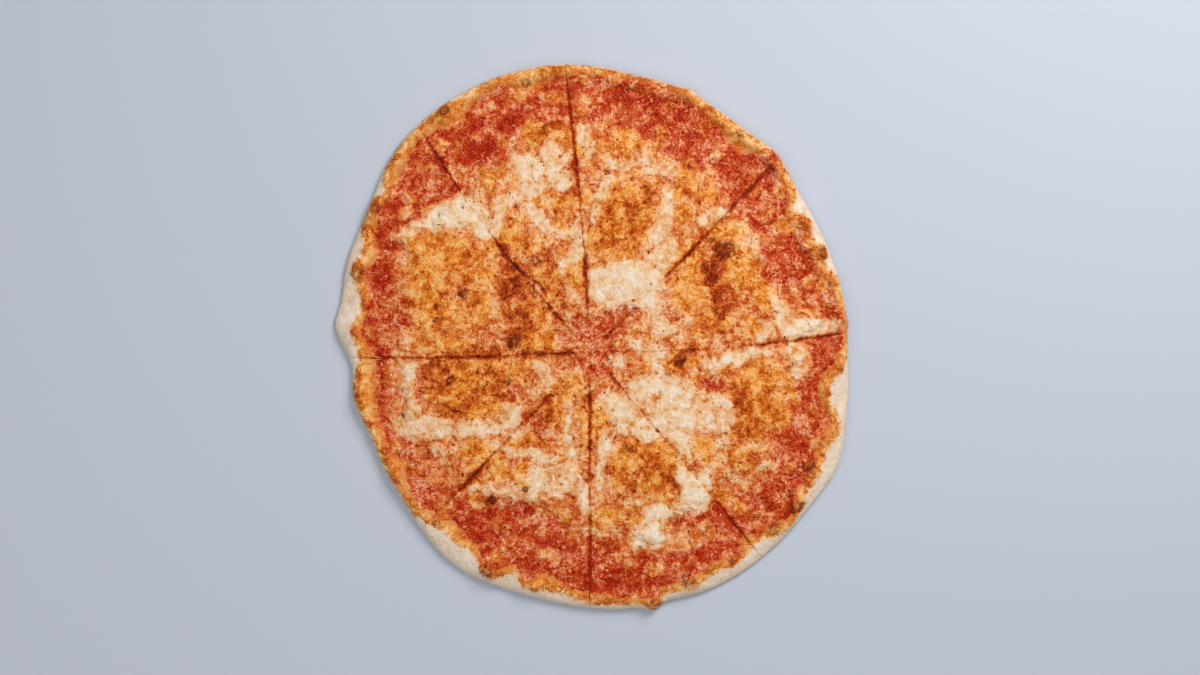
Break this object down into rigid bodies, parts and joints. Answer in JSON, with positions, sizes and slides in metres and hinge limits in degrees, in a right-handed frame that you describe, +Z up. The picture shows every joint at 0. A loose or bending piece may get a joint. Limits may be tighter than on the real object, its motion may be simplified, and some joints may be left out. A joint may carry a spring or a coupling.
{
  "type": "margherita pizza",
  "caption": "Thin round pizza with a low browned rim, tomato sauce and melted cheese, cut into wedges that still lie together flat.",
  "frame": {"origin": "under the middle of the pizza, on its flat underside", "axes": "+Z up out of the toppings, +Y along the longer diameter towards the cut between the second and third slice, +X to the right seen from above"},
  "size_m": [0.2993, 0.3178, 0.009],
  "materials": {
    "crust": "matte baked dough, floury at the lip, golden to dark brown on the bubbles",
    "sauce": "moist cooked tomato sauce",
    "cheese": "oily melted cheese, cream to golden orange with browned spots"
  },
  "bodies": {
    "root": {"slice_1_crust": "crust", "slice_2_crust": "crust", "slice_3_crust": "crust", "slice_4_crust": "crust", "slice_5_crust": "crust", "slice_6_crust": "crust", "slice_7_crust": "crust", "slice_8_crust": "crust", "slice_1_sauce": "sauce", "slice_2_sauce": "sauce", "slice_3_sauce": "sauce", "slice_4_sauce": "sauce", "slice_5_sauce": "sauce", "slice_6_sauce": "sauce", "slice_7_sauce": "sauce", "slice_8_sauce": "sauce", "slice_1_cheese": "cheese", "slice_2_cheese": "cheese", "slice_3_cheese": "cheese", "slice_4_cheese": "cheese", "slice_5_cheese": "cheese", "slice_6_cheese": "cheese", "slice_7_cheese": "cheese", "slice_8_cheese": "cheese"}
  },
  "joints": []
}
